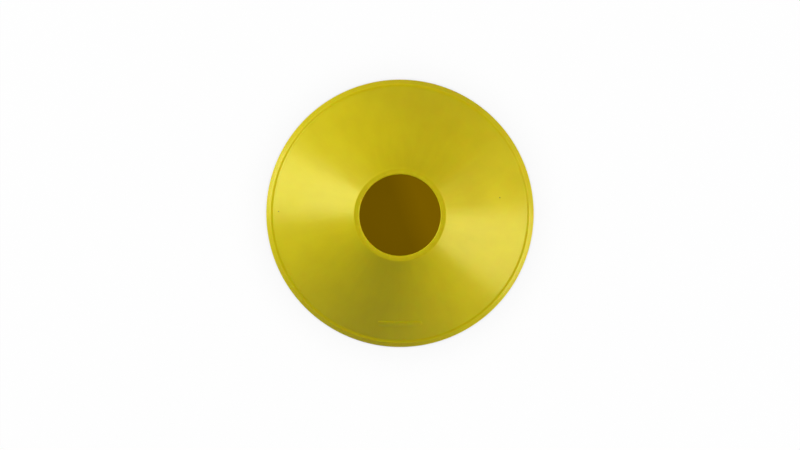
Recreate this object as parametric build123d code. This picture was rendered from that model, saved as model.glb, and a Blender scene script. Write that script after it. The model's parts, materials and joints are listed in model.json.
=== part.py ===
from build123d import *
import os

# A disc marker cone for sports training: a low cone of soft plastic with a hole through its top.
# The real cone is one moulding of revolution. Its section is drawn once, and the solid is divided
# on the plain wall beside the places where it thickens: the rim that it stands on and the collar
# round the hole. The divided solids meet face to face.
# Millimetres, +Z up. The origin is on the ground, at the middle of the base, and -Y is the front.

# Overall sizes
BASE_DIAMETER = 190.0  # across the outer edge of the rim
HEIGHT = 50.0  # ground to the flat top of the collar
HOLE_DIAMETER = 54.0  # clear through the top
WALL = 1.4  # cone wall, square to its slope

# Rim: a thicker hem on a flat foot, set off from the wall by a ledge between a crease and a lip
RIM_HEIGHT = 3.7  # ground to the lip of the hem
RIM_EDGE = 1.0  # upright outer edge
RIM_FACE = 3.5  # from the lip out to the edge, seen from above
RIM_STEP = 1.7  # ledge, from the crease out to the lip, seen from above
RIM_DROP = 0.5  # from the crease down to the lip
RIM_WIDTH = 7.0  # foot, from the outer edge inwards
RIM_LAND = 1.5  # length of plain wall kept with the rim, past the crease
CREASE_ROUND = 2.0
LIP_ROUND = 2.0
EDGE_ROUND = 0.8
FOOT_ROUND = 0.3

# Collar: a slightly crowned ring round the hole
COLLAR_WIDTH = 3.4  # from the hole to the shoulder where the wall starts
COLLAR_CROWN = 1.2  # flat top, from the hole out to where it starts to fall
COLLAR_FALL = 0.25  # from the flat top down to the shoulder
COLLAR_DEPTH = 3.0  # flat top to underside, down the hole
COLLAR_LAND = 1.0  # length of plain wall kept with the collar, past its underside
CROWN_ROUND = 2.5
SHOULDER_ROUND = 1.5
HOLE_ROUND = 0.7
UNDERSIDE_ROUND = 0.6

# Name pad: a blank raised pad low on the front of the wall
PAD_LENGTH = 31.0
PAD_WIDTH = 5.0  # down the slope
PAD_RAISE = 0.35
PAD_CLIMB = 16.3  # from the crease up the slope to the middle of the pad


def at(radius, height):
    """A point of the section, which lies in the XZ plane."""
    return Vector(radius, 0, height)


# Corners of the section
base_radius = BASE_DIAMETER / 2
hole_radius = HOLE_DIAMETER / 2
hole_top = at(hole_radius, HEIGHT)
hole_bottom = at(hole_radius, HEIGHT - COLLAR_DEPTH)
crown = at(hole_radius + COLLAR_CROWN, HEIGHT)
shoulder = at(hole_radius + COLLAR_WIDTH, HEIGHT - COLLAR_FALL)
lip = at(base_radius - RIM_FACE, RIM_HEIGHT)
crease = lip + at(-RIM_STEP, RIM_DROP)
rim_edge = at(base_radius, RIM_EDGE)
foot_outer = at(base_radius, 0)
foot_inner = at(base_radius - RIM_WIDTH, 0)

# The wall runs straight from the shoulder down to the crease
down_slope = (crease - shoulder).normalized()
out_of_wall = Vector(-down_slope.Z, 0, down_slope.X)
inner_crease = crease - out_of_wall * WALL
drop_to_underside = (inner_crease.Z - hole_bottom.Z) / down_slope.Z
collar_inner = inner_crease - down_slope * drop_to_underside


def rounded(face, corner, radius):
    """The face with its corner nearest the given point rounded."""
    vertex = face.vertices().sort_by_distance(corner)[0]
    return face.fillet_2d(radius, [vertex])


def moulding_section():
    """Half section of the whole moulding, from the hole out to the rim."""
    outline = Polyline(
        hole_bottom,
        hole_top,
        crown,
        shoulder,
        crease,
        lip,
        rim_edge,
        foot_outer,
        foot_inner,
        inner_crease,
        collar_inner,
        close=True,
    )
    section = make_face(outline).face()
    corners = [
        (hole_top, HOLE_ROUND),
        (hole_bottom, HOLE_ROUND),
        (crown, CROWN_ROUND),
        (shoulder, SHOULDER_ROUND),
        (crease, CREASE_ROUND),
        (lip, LIP_ROUND),
        (rim_edge, EDGE_ROUND),
        (foot_outer, FOOT_ROUND),
        (foot_inner, FOOT_ROUND),
        (collar_inner, UNDERSIDE_ROUND),
    ]
    for corner, radius in corners:
        section = rounded(section, corner, radius)
    return section


def square_cut(point):
    """A plane across the wall at a point of its outer face, facing down the slope."""
    return Plane(origin=point, x_dir=out_of_wall, z_dir=down_slope)


def divided(section):
    """The section's collar, wall and rim, cut square across the plain wall."""
    underside_reach = (collar_inner - shoulder).dot(down_slope)
    collar_cut = square_cut(shoulder + down_slope * (underside_reach + COLLAR_LAND))
    rim_cut = square_cut(crease - down_slope * RIM_LAND)
    collar = split(section, bisect_by=collar_cut, keep=Keep.BOTTOM)
    below_collar = split(section, bisect_by=collar_cut, keep=Keep.TOP)
    wall = split(below_collar, bisect_by=rim_cut, keep=Keep.BOTTOM)
    rim = split(below_collar, bisect_by=rim_cut, keep=Keep.TOP)
    return collar, wall, rim


def name_pad():
    """A blank round-ended pad that follows the curve of the wall, turned to the front."""
    skin = Polyline(
        shoulder,
        crease,
        crease + out_of_wall * PAD_RAISE,
        shoulder + out_of_wall * PAD_RAISE,
        close=True,
    )
    layer = revolve(make_face(skin), Axis.Z)
    middle = crease - down_slope * PAD_CLIMB
    on_wall = Plane(origin=middle, x_dir=Vector(0, 1, 0), z_dir=out_of_wall)
    outline = on_wall * SlotOverall(PAD_LENGTH, PAD_WIDTH)
    pad = layer & extrude(outline, amount=PAD_LENGTH / 2, both=True)
    return Rotation(0, 0, -90) * pad


def build():
    collar, wall, rim = divided(moulding_section())
    return {
        "top_collar": revolve(collar, Axis.Z),
        "cone_wall": revolve(wall, Axis.Z),
        "base_rim": revolve(rim, Axis.Z),
        "name_pad": name_pad(),
    }


os.makedirs("parts", exist_ok=True)
for node, solid in build().items():
    export_step(solid, f"parts/{node}.step")
    print(node, f"{solid.volume:.1f} mm3")
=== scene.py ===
import json
from math import atan2, cos, pi, radians, sin, tan

import bmesh
import bpy
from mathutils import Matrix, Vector


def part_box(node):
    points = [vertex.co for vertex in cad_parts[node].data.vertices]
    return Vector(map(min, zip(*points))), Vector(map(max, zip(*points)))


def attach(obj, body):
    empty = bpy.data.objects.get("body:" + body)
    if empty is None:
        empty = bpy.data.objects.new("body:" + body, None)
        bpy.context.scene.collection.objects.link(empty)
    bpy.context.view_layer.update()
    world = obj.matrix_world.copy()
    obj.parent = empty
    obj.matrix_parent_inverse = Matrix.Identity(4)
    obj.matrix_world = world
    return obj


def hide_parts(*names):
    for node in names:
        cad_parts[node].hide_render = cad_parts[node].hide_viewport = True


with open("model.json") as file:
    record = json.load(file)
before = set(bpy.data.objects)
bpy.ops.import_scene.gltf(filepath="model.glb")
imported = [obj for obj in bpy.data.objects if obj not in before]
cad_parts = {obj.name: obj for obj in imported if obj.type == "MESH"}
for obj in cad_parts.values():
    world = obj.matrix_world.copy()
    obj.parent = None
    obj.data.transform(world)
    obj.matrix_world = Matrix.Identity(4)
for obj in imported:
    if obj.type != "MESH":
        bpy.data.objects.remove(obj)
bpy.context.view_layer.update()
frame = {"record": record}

# Sizes of the moulding, in metres
MM = 0.001
BASE_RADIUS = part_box("base_rim")[1][0]
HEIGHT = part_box("top_collar")[1][2]
HOLE_RADIUS = next(m["dims"]["r_mm"] for m in frame["record"]["mounts"] if m["name"] == "top_hole") * MM
WALL = 1.4 * MM
RIM_HEIGHT = 3.7 * MM
RIM_EDGE = 1.0 * MM
RIM_FACE = 3.5 * MM
RIM_STEP = 1.7 * MM
RIM_DROP = 0.5 * MM
RIM_WIDTH = 7.0 * MM
RIM_LAND = 1.5 * MM
CREASE_ROUND = 2.0 * MM
LIP_ROUND = 2.0 * MM
EDGE_ROUND = 0.8 * MM
FOOT_ROUND = 0.3 * MM
COLLAR_WIDTH = 3.4 * MM
COLLAR_CROWN = 1.2 * MM
COLLAR_FALL = 0.25 * MM
COLLAR_DEPTH = 3.0 * MM
COLLAR_LAND = 1.0 * MM
CROWN_ROUND = 2.5 * MM
SHOULDER_ROUND = 1.5 * MM
HOLE_ROUND = 0.7 * MM
UNDERSIDE_ROUND = 0.6 * MM
PAD_LENGTH = 31.0 * MM
PAD_WIDTH = 5.0 * MM
PAD_RAISE = 0.35 * MM
PAD_CLIMB = 16.3 * MM

# Finishing values that only the mesh has
PAD_END_ROUND = 0.49 * PAD_WIDTH  # just short of half, so that the two rounds of an end don't meet
PAD_CUTS = 30  # across the pad, so that it bends round the wall
PAD_SINK = 0.2 * MM  # how deep the pad's underside lies in the wall
PAD_EDGE_ROUND = 0.22 * MM
PAD_SHARP_ANGLE = radians(50)
WALL_WAVE = 0.16 * MM  # furthest rise or fall
WAVE_SPAN = 34 * MM
WAVE_FADE = 9 * MM
WALL_RINGS = 46
SPIN_STEPS = 256
SPIN_SHARP_ANGLE = radians(35)
SEAM_GAP = 0.002 * MM
NEAR = 0.01 * MM  # how close to a corner a vertex counts as the corner


def at(radius, height):
    """A point of the moulding's section."""
    return Vector((radius, height))


# Corners of the section
hole_top = at(HOLE_RADIUS, HEIGHT)
hole_bottom = at(HOLE_RADIUS, HEIGHT - COLLAR_DEPTH)
crown = at(HOLE_RADIUS + COLLAR_CROWN, HEIGHT)
shoulder = at(HOLE_RADIUS + COLLAR_WIDTH, HEIGHT - COLLAR_FALL)
lip = at(BASE_RADIUS - RIM_FACE, RIM_HEIGHT)
crease = lip + at(-RIM_STEP, RIM_DROP)
rim_edge = at(BASE_RADIUS, RIM_EDGE)
foot_outer = at(BASE_RADIUS, 0)
foot_inner = at(BASE_RADIUS - RIM_WIDTH, 0)

# The wall runs straight from the shoulder down to the crease
down_slope = (crease - shoulder).normalized()
out_of_wall = at(-down_slope.y, down_slope.x)
inner_crease = crease - out_of_wall * WALL
drop_to_underside = (inner_crease.y - hole_bottom.y) / down_slope.y
collar_inner = inner_crease - down_slope * drop_to_underside

# Where the wall is cut from the collar and the rim
underside_reach = (collar_inner - shoulder).dot(down_slope)
collar_cut = shoulder + down_slope * (underside_reach + COLLAR_LAND)
rim_cut = crease - down_slope * RIM_LAND


def inside_of(point):
    """The point of the wall's inner face that is square across from one on its outer face."""
    return point - out_of_wall * WALL


# Modelling. A round piece is an outline in the XZ plane, with rounded corners, spun round the axis.

def in_section(vertex):
    return at(vertex.co.x, vertex.co.z)


def select_where(piece, kind, test):
    """In edit mode, leaves just the verts or edges selected that pass a test."""
    bpy.ops.mesh.select_all(action="DESELECT")
    bpy.ops.mesh.select_mode(type="VERT" if kind == "verts" else "EDGE")
    mesh = bmesh.from_edit_mesh(piece.data)
    for item in getattr(mesh, kind):
        item.select_set(test(item))
    mesh.select_flush_mode()
    bmesh.update_edit_mesh(piece.data)


def new_plane(name, size, location):
    bpy.ops.object.select_all(action="DESELECT")
    bpy.ops.mesh.primitive_plane_add(size=size, location=location)
    piece = bpy.context.object
    piece.name = name
    piece.data.name = name
    return piece


def draw_section(name, corners):
    """A closed outline, drawn corner by corner from a plane that is merged to one point."""
    first = corners[0]
    piece = new_plane(name, MM, (first.x, 0, first.y))
    bpy.ops.object.transform_apply(location=True, rotation=False, scale=False)
    bpy.ops.object.mode_set(mode="EDIT")
    bpy.ops.mesh.select_mode(type="VERT")
    bpy.ops.mesh.select_all(action="SELECT")
    bpy.ops.mesh.merge(type="CENTER")
    for here, there in zip(corners, corners[1:]):
        step = there - here
        bpy.ops.mesh.extrude_vertices_move(TRANSFORM_OT_translate={"value": (step.x, 0, step.y)})
    bpy.ops.mesh.select_all(action="SELECT")
    bpy.ops.mesh.edge_face_add()
    return piece


def round_corner(piece, before, corner, after, radius, segments=6):
    """Rounds one corner of an outline, cut back by the tangent length of the round."""
    angle = (before - corner).angle(after - corner)
    select_where(piece, "verts", lambda v: (in_section(v) - corner).length < NEAR)
    bpy.ops.mesh.bevel(offset=radius / tan(angle / 2), segments=segments, affect="VERTICES")


def divide_run(piece, start, end, cuts):
    """Divides the straight run between two corners of an outline into rings."""
    def is_end(vertex):
        return min((in_section(vertex) - start).length, (in_section(vertex) - end).length) < NEAR
    select_where(piece, "edges", lambda edge: all(is_end(v) for v in edge.verts))
    bpy.ops.mesh.subdivide(number_cuts=cuts)


def spin_round(piece):
    """Turns an outline once round the axis and closes the seam."""
    bpy.ops.mesh.select_mode(type="VERT")
    bpy.ops.mesh.select_all(action="SELECT")
    bpy.ops.mesh.delete(type="ONLY_FACE")
    bpy.ops.mesh.select_all(action="SELECT")
    bpy.ops.mesh.spin(steps=SPIN_STEPS, angle=2 * pi, center=(0, 0, 0), axis=(0, 0, 1))
    bpy.ops.mesh.select_all(action="SELECT")
    bpy.ops.mesh.remove_doubles(threshold=SEAM_GAP)
    bpy.ops.mesh.normals_make_consistent(inside=False)
    bpy.ops.object.mode_set(mode="OBJECT")
    bpy.ops.object.shade_smooth_by_angle(angle=SPIN_SHARP_ANGLE)


def apply_modifier(piece, name, kind, **settings):
    modifier = piece.modifiers.new(name, kind)
    for setting, value in settings.items():
        setattr(modifier, setting, value)
    bpy.ops.object.modifier_apply(modifier=name)


def base_rim():
    """The thicker hem that the cone stands on, set off from the wall by a small ledge."""
    corners = [rim_cut, crease, lip, rim_edge, foot_outer, foot_inner, inner_crease, inside_of(rim_cut)]
    piece = draw_section("rim", corners)
    round_corner(piece, rim_cut, crease, lip, CREASE_ROUND)
    round_corner(piece, crease, lip, rim_edge, LIP_ROUND)
    round_corner(piece, lip, rim_edge, foot_outer, EDGE_ROUND, segments=8)
    round_corner(piece, rim_edge, foot_outer, foot_inner, FOOT_ROUND, segments=4)
    round_corner(piece, foot_outer, foot_inner, inner_crease, FOOT_ROUND, segments=4)
    spin_round(piece)
    return piece


def wave_wall(piece):
    """Gives the wall the slight waves of a soft moulding, fading out towards the rim and the collar."""
    group = piece.vertex_groups.new(name="waves")
    length = (rim_cut - collar_cut).length
    for vertex in piece.data.vertices:
        along = (at(vertex.co.xy.length, vertex.co.z) - collar_cut).dot(down_slope)
        to_end = min(along, length - along)
        group.add([vertex.index], min(max(to_end / WAVE_FADE, 0), 1), "REPLACE")
    waves = bpy.data.textures.new("waves", "CLOUDS")
    waves.noise_scale = WAVE_SPAN
    waves.noise_depth = 1
    apply_modifier(piece, "waves", "DISPLACE", texture=waves, texture_coords="LOCAL", direction="Z",
                   vertex_group=group.name, mid_level=0.5, strength=2 * WALL_WAVE)
    piece.vertex_groups.remove(piece.vertex_groups["waves"])


def cone_wall():
    """The plain wall, in rings that are close enough together to carry its waves."""
    corners = [collar_cut, rim_cut, inside_of(rim_cut), inside_of(collar_cut)]
    piece = draw_section("wall", corners)
    divide_run(piece, collar_cut, rim_cut, WALL_RINGS)
    divide_run(piece, inside_of(rim_cut), inside_of(collar_cut), WALL_RINGS)
    spin_round(piece)
    wave_wall(piece)
    return piece


def top_collar():
    """The slightly crowned ring round the hole."""
    corners = [hole_bottom, hole_top, crown, shoulder, collar_cut, inside_of(collar_cut), collar_inner]
    piece = draw_section("collar", corners)
    round_corner(piece, collar_inner, hole_bottom, hole_top, HOLE_ROUND)
    round_corner(piece, hole_bottom, hole_top, crown, HOLE_ROUND)
    round_corner(piece, hole_top, crown, shoulder, CROWN_ROUND, segments=4)
    round_corner(piece, crown, shoulder, collar_cut, SHOULDER_ROUND, segments=8)
    round_corner(piece, inside_of(collar_cut), collar_inner, hole_bottom, UNDERSIDE_ROUND, segments=4)
    spin_round(piece)
    return piece


def name_pad(wall):
    """A blank pad with round ends, laid on the front of the wall and raised from it."""
    middle = crease - down_slope * PAD_CLIMB
    piece = new_plane("pad", 1, (0, -middle.x, middle.y))
    piece.scale = (PAD_LENGTH, PAD_WIDTH, 1)
    piece.rotation_euler = (atan2(-down_slope.y, down_slope.x), 0, 0)
    bpy.ops.object.transform_apply(location=True, rotation=True, scale=True)
    bpy.ops.object.mode_set(mode="EDIT")
    bpy.ops.mesh.select_mode(type="VERT")
    bpy.ops.mesh.select_all(action="SELECT")
    bpy.ops.mesh.bevel(offset=PAD_END_ROUND, segments=8, affect="VERTICES")
    for cut in range(1, PAD_CUTS):
        bpy.ops.mesh.select_all(action="SELECT")
        across = PAD_LENGTH * (cut / PAD_CUTS - 0.5)
        bpy.ops.mesh.bisect(plane_co=(across, 0, 0), plane_no=(1, 0, 0))
    bpy.ops.object.mode_set(mode="OBJECT")
    apply_modifier(piece, "lay_on_wall", "SHRINKWRAP", target=wall, wrap_method="PROJECT",
                   use_negative_direction=True, use_positive_direction=True)
    thickness = PAD_RAISE + PAD_SINK
    apply_modifier(piece, "thickness", "SOLIDIFY", thickness=thickness,
                   offset=2 * PAD_RAISE / thickness - 1)
    apply_modifier(piece, "soft_edge", "BEVEL", width=PAD_EDGE_ROUND, segments=3,
                   limit_method="ANGLE", angle_limit=PAD_SHARP_ANGLE)
    bpy.ops.object.shade_smooth_by_angle(angle=PAD_SHARP_ANGLE)
    return piece


# Finishes

PALE_YELLOW = (0.80, 0.69, 0.002, 1)
DEEP_YELLOW = (0.74, 0.625, 0.001, 1)
RUBBED_YELLOW = (0.90, 0.80, 0.012, 1)
SPECK_BROWN = (0.10, 0.06, 0.01, 1)

# Scales of the patterns, to a metre. The flow lines have theirs round a circle of radius 1.
CLOUD_SCALE = 26.0
FLOW_SCALE = 9.0
FLOW_RUN = 6.0  # how far their pattern moves on over a metre outwards
PATCH_SCALE = 220.0
UNEVEN_SCALE = 130.0
GRAIN_SCALE = 2600.0

# How the patterns show: the part of a pattern's range that is spread out, and shares of a mix
CLOUD_SHARE = 0.65  # of the tone, with the flow lines for the rest
TONE_RANGE = (0.36, 0.64)  # from deep to pale yellow
PATCH_RANGE = (0.42, 0.68)
CLOUD_DULL = 0.5
PATCH_DULL = 0.25
DULL_RANGE = (0.15, 0.60)  # from the smoothest to the roughest skin

# Relief of the skin
FLOW_HEIGHT = 0.10 * MM
UNEVEN_HEIGHT = 0.06 * MM
GRAIN_HEIGHT = 0.012 * MM

# Wear and dirt
HEM_RUB = 0.8 * MM
COLLAR_RUB = 4.0 * MM
LEAST_RUB = 0.3
MOST_RUB = 0.6
SPECKS = ((-85.4 * MM, 1.8 * MM), (69.0 * MM, 11.5 * MM))
SPECK_RADIUS = 0.55 * MM
SPECK_DARK = 0.85

# Gloss, and light that goes into the plastic
GLOSS = 0.45
GLOSS_TINT = (1, 0.95, 0.17, 1)
SMOOTHEST = 0.28
ROUGHEST = 0.35
GLANCING_RANGE = (0.3, 0.65)  # 0 is seen square on, 1 edge on
GLANCING_DULL = 0.6  # roughness added where the skin is seen at a low angle
LIGHT_INSIDE = 0.6
LIGHT_REACH = 0.9 * MM
LIGHT_REACH_BY_COLOUR = (1.0, 0.55, 0.05)


def node(tree, kind, sockets=(), **properties):
    """Adds a shader node. A socket is given a value, or another node's output to link to."""
    made = tree.nodes.new("ShaderNode" + kind)
    for name, value in properties.items():
        setattr(made, name, value)
    for socket, value in dict(sockets).items():
        if isinstance(value, bpy.types.NodeSocket):
            tree.links.new(value, made.inputs[socket])
        else:
            made.inputs[socket].default_value = value
    return made


def calc(tree, operation, first, second=0.0):
    return node(tree, "Math", {0: first, 1: second}, operation=operation).outputs[0]


def spread(tree, value, low, high, to_low, to_high):
    """Maps a value from one range to another, held at both ends."""
    sockets = {"Value": value, "From Min": low, "From Max": high, "To Min": to_low, "To Max": to_high}
    return node(tree, "MapRange", sockets).outputs["Result"]


def noise(tree, place, scale, detail=2.0):
    return node(tree, "TexNoise", {"Vector": place, "Scale": scale, "Detail": detail}).outputs["Fac"]


def mix_colour(tree, factor, first, second):
    sockets = {0: factor, 6: first, 7: second}
    return node(tree, "Mix", sockets, data_type="RGBA").outputs[2]


def ring(tree, distance, radius, width):
    """1 on a circle round the axis, falling to 0 at a width from it."""
    off = calc(tree, "ABSOLUTE", calc(tree, "SUBTRACT", distance, radius))
    return spread(tree, off, 0.0, width, 1.0, 0.0)


def flow_lines(tree, flat, distance):
    """A pattern stretched from the hole outwards, without a seam round the axis."""
    round_axis = node(tree, "VectorMath", {0: flat}, operation="NORMALIZE").outputs[0]
    along = node(tree, "CombineXYZ", {"Z": calc(tree, "MULTIPLY", distance, FLOW_RUN)}).outputs[0]
    streaked = node(tree, "VectorMath", {0: round_axis, 1: along}, operation="ADD").outputs[0]
    return noise(tree, streaked, FLOW_SCALE, 5.0)


def yellow_tone(tree, clouds, flow):
    """Cloudy yellow with faint flow lines."""
    cloudy = calc(tree, "MULTIPLY", clouds, CLOUD_SHARE)
    lined = calc(tree, "MULTIPLY", flow, 1 - CLOUD_SHARE)
    tone = spread(tree, calc(tree, "ADD", cloudy, lined), *TONE_RANGE, 0.0, 1.0)
    return mix_colour(tree, tone, DEEP_YELLOW, PALE_YELLOW)


def rubbed_edges(tree, distance, patches, colour):
    """Paler plastic, more in some patches than in others, on the lip of the hem and on the collar."""
    hem_edge = ring(tree, distance, lip.x, HEM_RUB)
    collar_top = ring(tree, distance, crown.x, COLLAR_RUB)
    edges = calc(tree, "MAXIMUM", hem_edge, collar_top)
    wear = spread(tree, patches, 0.0, 1.0, LEAST_RUB, MOST_RUB)
    return mix_colour(tree, calc(tree, "MULTIPLY", edges, wear), colour, RUBBED_YELLOW)


def specked(tree, flat, colour):
    """Small dark specks, at their places seen from above."""
    for x, y in SPECKS:
        off = node(tree, "VectorMath", {0: flat, 1: (x, y, 0)}, operation="DISTANCE").outputs["Value"]
        dark = spread(tree, off, 0.5 * SPECK_RADIUS, SPECK_RADIUS, SPECK_DARK, 0.0)
        colour = mix_colour(tree, dark, colour, SPECK_BROWN)
    return colour


def satin_roughness(tree, clouds, patches):
    """A satin gloss that varies a little, and is duller where the skin is seen at a low angle."""
    cloudy = calc(tree, "MULTIPLY", clouds, CLOUD_DULL)
    patchy = calc(tree, "MULTIPLY", patches, PATCH_DULL)
    satin = spread(tree, calc(tree, "ADD", cloudy, patchy), *DULL_RANGE, SMOOTHEST, ROUGHEST)
    glancing = node(tree, "LayerWeight", {"Blend": 0.5}).outputs["Facing"]
    duller = spread(tree, glancing, *GLANCING_RANGE, 0.0, GLANCING_DULL)
    return calc(tree, "ADD", satin, duller)


def skin_relief(tree, place, flow):
    """The flow lines, a soft unevenness and a fine grain, as a bump."""
    lines = calc(tree, "MULTIPLY", flow, FLOW_HEIGHT)
    uneven = calc(tree, "MULTIPLY", noise(tree, place, UNEVEN_SCALE), UNEVEN_HEIGHT)
    grain = calc(tree, "MULTIPLY", noise(tree, place, GRAIN_SCALE), GRAIN_HEIGHT)
    height = calc(tree, "ADD", calc(tree, "ADD", grain, uneven), lines)
    return node(tree, "Bump", {"Height": height, "Strength": 1.0, "Distance": 1.0}).outputs["Normal"]


def satin_plastic():
    """Yellow polyethylene as moulded, with a satin skin, rubbed edges and a few specks."""
    material = bpy.data.materials.new("satin_yellow_plastic")
    material.use_nodes = True
    tree = material.node_tree
    shader = tree.nodes["Principled BSDF"]

    place = node(tree, "TexCoord").outputs["Object"]
    flat = node(tree, "VectorMath", {0: place, 1: (1, 1, 0)}, operation="MULTIPLY").outputs[0]
    distance = node(tree, "VectorMath", {0: flat}, operation="LENGTH").outputs["Value"]
    clouds = noise(tree, place, CLOUD_SCALE, 4.0)
    patches = spread(tree, noise(tree, place, PATCH_SCALE, 4.0), *PATCH_RANGE, 0.0, 1.0)
    flow = flow_lines(tree, flat, distance)

    colour = yellow_tone(tree, clouds, flow)
    colour = rubbed_edges(tree, distance, patches, colour)
    colour = specked(tree, flat, colour)
    tree.links.new(colour, shader.inputs["Base Color"])
    tree.links.new(satin_roughness(tree, clouds, patches), shader.inputs["Roughness"])
    tree.links.new(skin_relief(tree, place, flow), shader.inputs["Normal"])

    shader.inputs["Specular IOR Level"].default_value = GLOSS
    shader.inputs["Specular Tint"].default_value = GLOSS_TINT
    shader.inputs["Subsurface Weight"].default_value = LIGHT_INSIDE
    shader.inputs["Subsurface Radius"].default_value = LIGHT_REACH_BY_COLOUR
    shader.inputs["Subsurface Scale"].default_value = LIGHT_REACH
    return material


def finish_piece(piece, node_name, material):
    piece.data.materials.append(material)
    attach(piece, "root")
    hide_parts(node_name)


plastic = satin_plastic()
finish_piece(base_rim(), "base_rim", plastic)
wall = cone_wall()
finish_piece(wall, "cone_wall", plastic)
finish_piece(top_collar(), "top_collar", plastic)
finish_piece(name_pad(wall), "name_pad", plastic)


# Studio

FLOOR_SIZE = 6
FLOOR_DROP = 0.1 * MM  # the floor lies a hair below the foot, and the disc of painted shade half as far
FLOOR_GREY = (0.8, 0.8, 0.8, 1)
FLOOR_ROUGHNESS = 0.9
WHITE = (1, 1, 1, 1)
WHITE_SHARE = 0.985
SHADOW_WHITE = 0.76  # how bright the floor stays in the deepest of the shadow
SHADOW_REACH = 30 * MM
# Painted shade under the cone: a brown disc that glows for the camera in place of the shade and
# yellowed light seen through the hole, lighter to one side as painted light
PAINTED_SHADE_BASE_BROWN = (0.5, 0.32, 0.004, 1)
PAINTED_SHADE_GLOW_BROWN = (0.158, 0.0875, 0.0, 1)
PAINTED_SHADE_SHARE = 0.85
PAINTED_LIGHT_SIDE = (0.94, 0.34, 0)  # the way that the painted brown shade grows lighter, as painted light
PAINTED_LIGHT_RISE = 16 * MM
PAINTED_LIGHT_BRIGHT = 1.3
ROOM_LIGHT = 0.02


def matt_floor(name, colour):
    material = bpy.data.materials.new(name)
    material.use_nodes = True
    shader = material.node_tree.nodes["Principled BSDF"]
    shader.inputs["Base Color"].default_value = colour
    shader.inputs["Roughness"].default_value = FLOOR_ROUGHNESS
    shader.inputs["Specular IOR Level"].default_value = 0.0
    return material


def seen_directly(tree):
    """1 for what the camera sees, also in a reflection or through glass, and 0 for light that falls."""
    rays = node(tree, "LightPath").outputs
    seen = calc(tree, "ADD", rays["Is Camera Ray"], rays["Is Glossy Ray"])
    return calc(tree, "ADD", seen, rays["Is Transmission Ray"])


def seen_as(tree, colour, strength, share):
    """Gives a floor a colour of its own for a share of what is seen, and leaves the rest shaded."""
    glow = node(tree, "Emission", {"Color": colour, "Strength": strength}).outputs[0]
    shaded = tree.nodes["Principled BSDF"].outputs[0]
    seen = calc(tree, "MULTIPLY", seen_directly(tree), share)
    mix = node(tree, "MixShader", {0: seen, 1: shaded, 2: glow})
    tree.links.new(mix.outputs[0], tree.nodes["Material Output"].inputs["Surface"])


def white_floor():
    """A pale floor that is seen as white, with the cone's shadow left on it."""
    material = matt_floor("white_floor", FLOOR_GREY)
    tree = material.node_tree
    open_sky = node(tree, "AmbientOcclusion", {"Distance": SHADOW_REACH}, samples=16).outputs["AO"]
    bright = spread(tree, open_sky, 0.5, 1.0, SHADOW_WHITE, 1.0)
    seen_as(tree, WHITE, bright, WHITE_SHARE)
    return material


def brown_floor():
    """The floor under the cone, seen through the hole: painted shade, a brown glow that rises to the
    right as painted light.
    """
    material = matt_floor("brown_floor", PAINTED_SHADE_BASE_BROWN)
    tree = material.node_tree
    place = node(tree, "TexCoord").outputs["Object"]
    to_light = node(tree, "VectorMath", {0: place, 1: PAINTED_LIGHT_SIDE}, operation="DOT_PRODUCT")
    bright = spread(tree, to_light.outputs["Value"], 0.0, PAINTED_LIGHT_RISE, 1.0, PAINTED_LIGHT_BRIGHT)
    # the brown glow is painted shade, and its rise to the right is painted light
    seen_as(tree, PAINTED_SHADE_GLOW_BROWN, bright, PAINTED_SHADE_SHARE)
    return material


def lay_floor():
    """A wide white floor, with a disc of painted brown shade under the cone that ends below its foot.
    """
    floor = new_plane("floor", FLOOR_SIZE, (0, 0, -FLOOR_DROP))
    floor.data.materials.append(white_floor())
    bpy.ops.object.select_all(action="DESELECT")
    # the disc of painted shade, seen only through the hole
    bpy.ops.mesh.primitive_circle_add(vertices=96, radius=BASE_RADIUS - RIM_WIDTH / 2, fill_type="NGON",
                                      location=(0, 0, -FLOOR_DROP / 2))
    under = bpy.context.object
    under.name = "floor_under_cone"
    under.data.materials.append(brown_floor())


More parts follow.
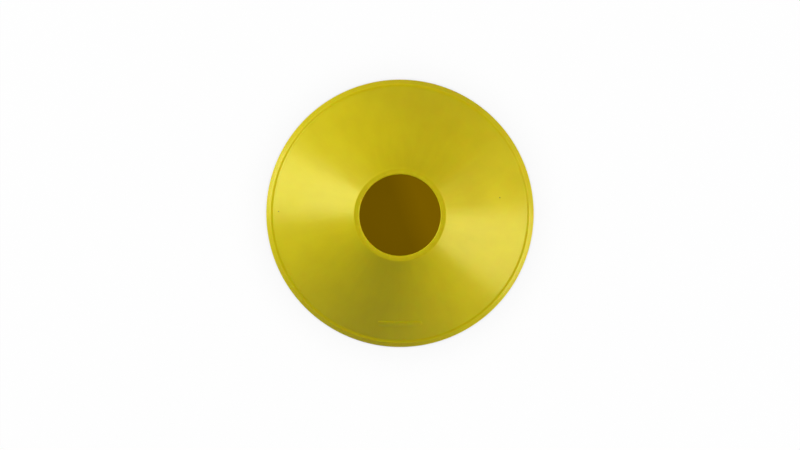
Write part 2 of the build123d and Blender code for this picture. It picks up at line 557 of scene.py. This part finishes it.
def dim_room():
    """A dim room with a white backdrop all round."""
    world = bpy.data.worlds.new("room")
    bpy.context.scene.world = world
    world.use_nodes = True
    tree = world.node_tree
    background = tree.nodes["Background"]
    background.inputs["Color"].default_value = WHITE
    strength = spread(tree, seen_directly(tree), 0.0, 1.0, ROOM_LIGHT, 1.0)
    tree.links.new(strength, background.inputs["Strength"])


def softbox(name, azimuth, elevation, distance, width, height, power, colour):
    """A soft light aimed at the cone, round the axis from +X and up from the floor, in degrees."""
    a = radians(azimuth)
    e = radians(elevation)
    spot = Vector((cos(a) * cos(e), sin(a) * cos(e), sin(e))) * distance
    bpy.ops.object.light_add(type="AREA", location=spot)
    light = bpy.context.object
    light.name = name
    light.data.shape = "RECTANGLE"
    light.data.size = width
    light.data.size_y = height
    light.data.energy = power
    light.data.color = colour
    light.rotation_euler = (-spot).to_track_quat("-Z", "Y").to_euler()
    light.visible_camera = False


lay_floor()
dim_room()
softbox("left_softbox", azimuth=146, elevation=28, distance=1.0, width=0.6, height=0.3,
        power=3.3, colour=(1, 0.90, 0.85))
softbox("left_strip", azimuth=166, elevation=14, distance=1.0, width=0.55, height=0.25,
        power=4.8, colour=(0.82, 0.87, 1))
softbox("right_softbox", azimuth=10, elevation=26, distance=1.0, width=0.8, height=0.3,
        power=4.1, colour=(0.81, 0.72, 1))
softbox("right_strip", azimuth=341, elevation=13, distance=1.0, width=0.72, height=0.25,
        power=5.0, colour=(0.81, 0.82, 1))
softbox("top_softbox", azimuth=90, elevation=88, distance=1.2, width=0.9, height=0.9,
        power=2.1, colour=(1, 0.945, 0.7))


# Camera, almost straight above

IMAGE_WIDTH = 800  # pixels
FOCAL_PIXELS = 984.6
SENSOR_WIDTH = 36  # millimetres, as the lens is
CAMERA_BACK = 12.7 * MM
CAMERA_HEIGHT = 700 * MM
AIM_FRONT = 7.95 * MM
bpy.ops.object.camera_add(location=(0, CAMERA_BACK, CAMERA_HEIGHT))
camera = bpy.context.object
camera.name = "camera"
camera.data.sensor_width = SENSOR_WIDTH
camera.data.lens = FOCAL_PIXELS / IMAGE_WIDTH * SENSOR_WIDTH
camera.rotation_euler = (-atan2(CAMERA_BACK + AIM_FRONT, CAMERA_HEIGHT), 0, 0)
bpy.context.scene.camera = camera
bpy.context.scene.view_settings.view_transform = "Standard"
